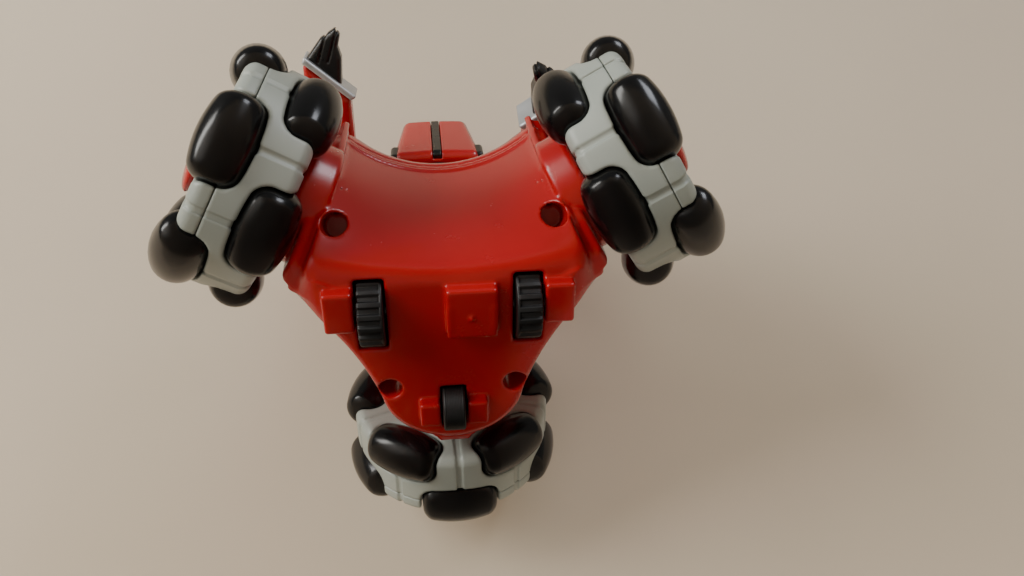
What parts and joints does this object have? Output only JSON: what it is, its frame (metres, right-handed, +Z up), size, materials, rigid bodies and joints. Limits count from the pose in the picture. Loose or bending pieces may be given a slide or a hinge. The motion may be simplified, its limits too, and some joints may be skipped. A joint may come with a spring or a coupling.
{
  "type": "toy robot on omni wheels",
  "caption": "Toy robot whose three-lobed base carries double row omni wheels at 120 degrees, with a small wheeled flywheel drive under the floor, a torso, turning head and swinging arms.",
  "frame": {"origin": "on the ground under the middle of the outline", "axes": "+Z up; the robot faces -Y; its own left hand is at +X"},
  "size_m": [0.1026, 0.0898, 0.092],
  "materials": {
    "red_plastic": "glossy moulded ABS",
    "grey_plastic": "satin moulded plastic",
    "black_plastic": "glossy moulded plastic",
    "steel": "plain turned steel",
    "silver_plastic": "silver painted plastic",
    "white_plastic": "natural moulded nylon"
  },
  "bodies": {
    "chassis": {"lower_shell": "red_plastic", "upper_shell": "red_plastic", "front_left_screw": "steel", "front_right_screw": "steel", "rear_left_screw": "steel", "rear_right_screw": "steel", "left_wheel_pin": "red_plastic", "right_wheel_pin": "red_plastic", "rear_wheel_pin": "red_plastic", "torso": "red_plastic"},
    "head": {"helmet": "red_plastic", "face_stripe": "black_plastic"},
    "left_arm": {"left_upper_arm": "red_plastic", "left_cuff": "silver_plastic", "left_hand": "black_plastic"},
    "right_arm": {"right_upper_arm": "red_plastic", "right_cuff": "silver_plastic", "right_hand": "black_plastic"},
    "front_axle_set": {"front_axle": "steel", "drive_pinion": "white_plastic", "left_tread_wheel": "black_plastic", "right_tread_wheel": "black_plastic"},
    "flywheel": {"flywheel_gear": "steel"},
    "tail_wheel": {"tail_wheel": "black_plastic"},
    "left_wheel": {"left_hub_inner_half": "grey_plastic", "left_hub_outer_half": "grey_plastic"},
    "right_wheel": {"right_hub_inner_half": "grey_plastic", "right_hub_outer_half": "grey_plastic"},
    "rear_wheel": {"rear_hub_inner_half": "grey_plastic", "rear_hub_outer_half": "grey_plastic"},
    "left_outer_roller_1": {"left_outer_roller_1": "black_plastic"},
    "left_outer_roller_2": {"left_outer_roller_2": "black_plastic"},
    "left_outer_roller_3": {"left_outer_roller_3": "black_plastic"},
    "left_outer_roller_4": {"left_outer_roller_4": "black_plastic"},
    "left_outer_roller_5": {"left_outer_roller_5": "black_plastic"},
    "left_inner_roller_1": {"left_inner_roller_1": "black_plastic"},
    "left_inner_roller_2": {"left_inner_roller_2": "black_plastic"},
    "left_inner_roller_3": {"left_inner_roller_3": "black_plastic"},
    "left_inner_roller_4": {"left_inner_roller_4": "black_plastic"},
    "left_inner_roller_5": {"left_inner_roller_5": "black_plastic"},
    "right_outer_roller_1": {"right_outer_roller_1": "black_plastic"},
    "right_outer_roller_2": {"right_outer_roller_2": "black_plastic"},
    "right_outer_roller_3": {"right_outer_roller_3": "black_plastic"},
    "right_outer_roller_4": {"right_outer_roller_4": "black_plastic"},
    "right_outer_roller_5": {"right_outer_roller_5": "black_plastic"},
    "right_inner_roller_1": {"right_inner_roller_1": "black_plastic"},
    "right_inner_roller_2": {"right_inner_roller_2": "black_plastic"},
    "right_inner_roller_3": {"right_inner_roller_3": "black_plastic"},
    "right_inner_roller_4": {"right_inner_roller_4": "black_plastic"},
    "right_inner_roller_5": {"right_inner_roller_5": "black_plastic"},
    "rear_outer_roller_1": {"rear_outer_roller_1": "black_plastic"},
    "rear_outer_roller_2": {"rear_outer_roller_2": "black_plastic"},
    "rear_outer_roller_3": {"rear_outer_roller_3": "black_plastic"},
    "rear_outer_roller_4": {"rear_outer_roller_4": "black_plastic"},
    "rear_outer_roller_5": {"rear_outer_roller_5": "black_plastic"},
    "rear_inner_roller_1": {"rear_inner_roller_1": "black_plastic"},
    "rear_inner_roller_2": {"rear_inner_roller_2": "black_plastic"},
    "rear_inner_roller_3": {"rear_inner_roller_3": "black_plastic"},
    "rear_inner_roller_4": {"rear_inner_roller_4": "black_plastic"},
    "rear_inner_roller_5": {"rear_inner_roller_5": "black_plastic"}
  },
  "joints": [
    {"name": "left_shoulder", "type": "hinge", "parent": "chassis", "child": "left_arm", "pos_m": [0.02262, 0.00167, 0.0646], "axis": [-1, 0, 0], "range_deg": [-1, 130]},
    {"name": "right_shoulder", "type": "hinge", "parent": "chassis", "child": "right_arm", "pos_m": [-0.02268, 0.00167, 0.0646], "axis": [-1, 0, 0], "range_deg": [-27, 104]},
    {"name": "head_turn", "type": "hinge", "parent": "chassis", "child": "head", "pos_m": [-0.00003, 0.00067, 0.07], "axis": [0, 0, 1], "range_deg": [-70, 70]},
    {"name": "left_wheel_spin", "type": "hinge", "parent": "chassis", "child": "left_wheel", "pos_m": [0.02725, -0.01958, 0.0255], "axis": [0.866, -0.5, 0], "continuous": true},
    {"name": "right_wheel_spin", "type": "hinge", "parent": "chassis", "child": "right_wheel", "pos_m": [-0.02731, -0.01958, 0.0255], "axis": [-0.866, -0.5, 0], "continuous": true},
    {"name": "rear_wheel_spin", "type": "hinge", "parent": "chassis", "child": "rear_wheel", "pos_m": [-0.00003, 0.02767, 0.0255], "axis": [0, 1, 0], "continuous": true},
    {"name": "front_axle_spin", "type": "hinge", "parent": "chassis", "child": "front_axle_set", "pos_m": [-0.00003, -0.00703, 0.0062], "axis": [1, 0, 0], "continuous": true},
    {"name": "flywheel_spin", "type": "hinge", "parent": "chassis", "child": "flywheel", "pos_m": [-0.00003, -0.00703, 0.0149], "axis": [1, 0, 0], "continuous": true},
    {"name": "tail_wheel_spin", "type": "hinge", "parent": "chassis", "child": "tail_wheel", "pos_m": [-0.00003, 0.01317, 0.0042], "axis": [1, 0, 0], "continuous": true},
    {"name": "left_outer_roller_1_spin", "type": "hinge", "parent": "left_wheel", "child": "left_outer_roller_1", "pos_m": [0.03216, -0.03588, 0.01299], "axis": [-0.3657, -0.6334, 0.682], "continuous": true},
    {"name": "left_outer_roller_2_spin", "type": "hinge", "parent": "left_wheel", "child": "left_outer_roller_2", "pos_m": [0.04214, -0.0186, 0.01054], "axis": [-0.4373, -0.7574, -0.4848], "continuous": true},
    {"name": "left_outer_roller_3_spin", "type": "hinge", "parent": "left_wheel", "child": "left_outer_roller_3", "pos_m": [0.04639, -0.01124, 0.02876], "axis": [0.0954, 0.1652, -0.9816], "continuous": true},
    {"name": "left_outer_roller_4_spin", "type": "hinge", "parent": "left_wheel", "child": "left_outer_roller_4", "pos_m": [0.03903, -0.02397, 0.04247], "axis": [0.4963, 0.8596, -0.1219], "continuous": true},
    {"name": "left_outer_roller_5_spin", "type": "hinge", "parent": "left_wheel", "child": "left_outer_roller_5", "pos_m": [0.03024, -0.0392, 0.03273], "axis": [0.2113, 0.366, 0.9063], "continuous": true},
    {"name": "left_inner_roller_1_spin", "type": "hinge", "parent": "left_wheel", "child": "left_inner_roller_1", "pos_m": [0.02812, -0.02248, 0.00853], "axis": [-0.4963, -0.8596, 0.1219], "continuous": true},
    {"name": "left_inner_roller_2_spin", "type": "hinge", "parent": "left_wheel", "child": "left_inner_roller_2", "pos_m": [0.03691, -0.00726, 0.01827], "axis": [-0.2113, -0.366, -0.9063], "continuous": true},
    {"name": "left_inner_roller_3_spin", "type": "hinge", "parent": "left_wheel", "child": "left_inner_roller_3", "pos_m": [0.03499, -0.01058, 0.03801], "axis": [0.3657, 0.6334, -0.682], "continuous": true},
    {"name": "left_inner_roller_4_spin", "type": "hinge", "parent": "left_wheel", "child": "left_inner_roller_4", "pos_m": [0.02501, -0.02786, 0.04046], "axis": [0.4373, 0.7574, 0.4848], "continuous": true},
    {"name": "left_inner_roller_5_spin", "type": "hinge", "parent": "left_wheel", "child": "left_inner_roller_5", "pos_m": [0.02077, -0.03522, 0.02224], "axis": [-0.0954, -0.1652, 0.9816], "continuous": true},
    {"name": "right_outer_roller_1_spin", "type": "hinge", "parent": "right_wheel", "child": "right_outer_roller_1", "pos_m": [-0.03259, -0.03522, 0.01232], "axis": [-0.3853, 0.6673, -0.6374], "continuous": true},
    {"name": "right_outer_roller_2_spin", "type": "hinge", "parent": "right_wheel", "child": "right_outer_roller_2", "pos_m": [-0.0301, -0.03955, 0.03179], "axis": [0.1841, -0.3188, -0.9298], "continuous": true},
    {"name": "right_outer_roller_3_spin", "type": "hinge", "parent": "right_wheel", "child": "right_outer_roller_3", "pos_m": [-0.03858, -0.02485, 0.04257], "axis": [0.499, -0.8643, 0.0628], "continuous": true},
    {"name": "right_outer_roller_4_spin", "type": "hinge", "parent": "right_wheel", "child": "right_outer_roller_4", "pos_m": [-0.04633, -0.01144, 0.02975], "axis": [0.1243, -0.2154, 0.9686], "continuous": true},
    {"name": "right_outer_roller_5_spin", "type": "hinge", "parent": "right_wheel", "child": "right_outer_roller_5", "pos_m": [-0.04263, -0.01784, 0.01106], "axis": [-0.4222, 0.7312, 0.5358], "continuous": true},
    {"name": "right_inner_roller_1_spin", "type": "hinge", "parent": "right_wheel", "child": "right_inner_roller_1", "pos_m": [-0.02093, -0.03502, 0.02125], "axis": [-0.1243, 0.2154, -0.9686], "continuous": true},
    {"name": "right_inner_roller_2_spin", "type": "hinge", "parent": "right_wheel", "child": "right_inner_roller_2", "pos_m": [-0.02463, -0.02861, 0.03994], "axis": [0.4222, -0.7312, -0.5358], "continuous": true},
    {"name": "right_inner_roller_3_spin", "type": "hinge", "parent": "right_wheel", "child": "right_inner_roller_3", "pos_m": [-0.03466, -0.01124, 0.03868], "axis": [0.3853, -0.6673, 0.6374], "continuous": true},
    {"name": "right_inner_roller_4_spin", "type": "hinge", "parent": "right_wheel", "child": "right_inner_roller_4", "pos_m": [-0.03716, -0.00691, 0.0192], "axis": [-0.1841, 0.3188, 0.9298], "continuous": true},
    {"name": "right_inner_roller_5_spin", "type": "hinge", "parent": "right_wheel", "child": "right_inner_roller_5", "pos_m": [-0.02867, -0.02161, 0.00843], "axis": [-0.499, 0.8643, -0.0628], "continuous": true},
    {"name": "rear_outer_roller_1_spin", "type": "hinge", "parent": "rear_wheel", "child": "rear_outer_roller_1", "pos_m": [0.00048, 0.04007, 0.00841], "axis": [0.9996, 0, 0.0297], "continuous": true},
    {"name": "rear_outer_roller_2_spin", "type": "hinge", "parent": "rear_wheel", "child": "rear_outer_roller_2", "pos_m": [-0.01613, 0.04007, 0.01974], "axis": [0.3371, 0, -0.9415], "continuous": true},
    {"name": "rear_outer_roller_3_spin", "type": "hinge", "parent": "rear_wheel", "child": "rear_outer_roller_3", "pos_m": [-0.01048, 0.04007, 0.03903], "axis": [-0.7912, 0, -0.6115], "continuous": true},
    {"name": "rear_outer_roller_4_spin", "type": "hinge", "parent": "rear_wheel", "child": "rear_outer_roller_4", "pos_m": [0.00961, 0.04007, 0.03963], "axis": [-0.8261, 0, 0.5635], "continuous": true},
    {"name": "rear_outer_roller_5_spin", "type": "hinge", "parent": "rear_wheel", "child": "rear_outer_roller_5", "pos_m": [0.01639, 0.04007, 0.0207], "axis": [0.2807, 0, 0.9598], "continuous": true},
    {"name": "rear_inner_roller_1_spin", "type": "hinge", "parent": "rear_wheel", "child": "rear_inner_roller_1", "pos_m": [-0.00966, 0.02987, 0.01137], "axis": [0.8261, 0, -0.5635], "continuous": true},
    {"name": "rear_inner_roller_2_spin", "type": "hinge", "parent": "rear_wheel", "child": "rear_inner_roller_2", "pos_m": [-0.01644, 0.02987, 0.0303], "axis": [-0.2807, 0, -0.9598], "continuous": true},
    {"name": "rear_inner_roller_3_spin", "type": "hinge", "parent": "rear_wheel", "child": "rear_inner_roller_3", "pos_m": [-0.00053, 0.02987, 0.04259], "axis": [-0.9996, 0, -0.0297], "continuous": true},
    {"name": "rear_inner_roller_4_spin", "type": "hinge", "parent": "rear_wheel", "child": "rear_inner_roller_4", "pos_m": [0.01607, 0.02987, 0.03126], "axis": [-0.3371, 0, 0.9415], "continuous": true},
    {"name": "rear_inner_roller_5_spin", "type": "hinge", "parent": "rear_wheel", "child": "rear_inner_roller_5", "pos_m": [0.01043, 0.02987, 0.01197], "axis": [0.7912, 0, 0.6115], "continuous": true}
  ],
  "couplings": [
    {"joint": "flywheel_spin", "follows": "front_axle_spin", "ratio": -0.5}
  ]
}
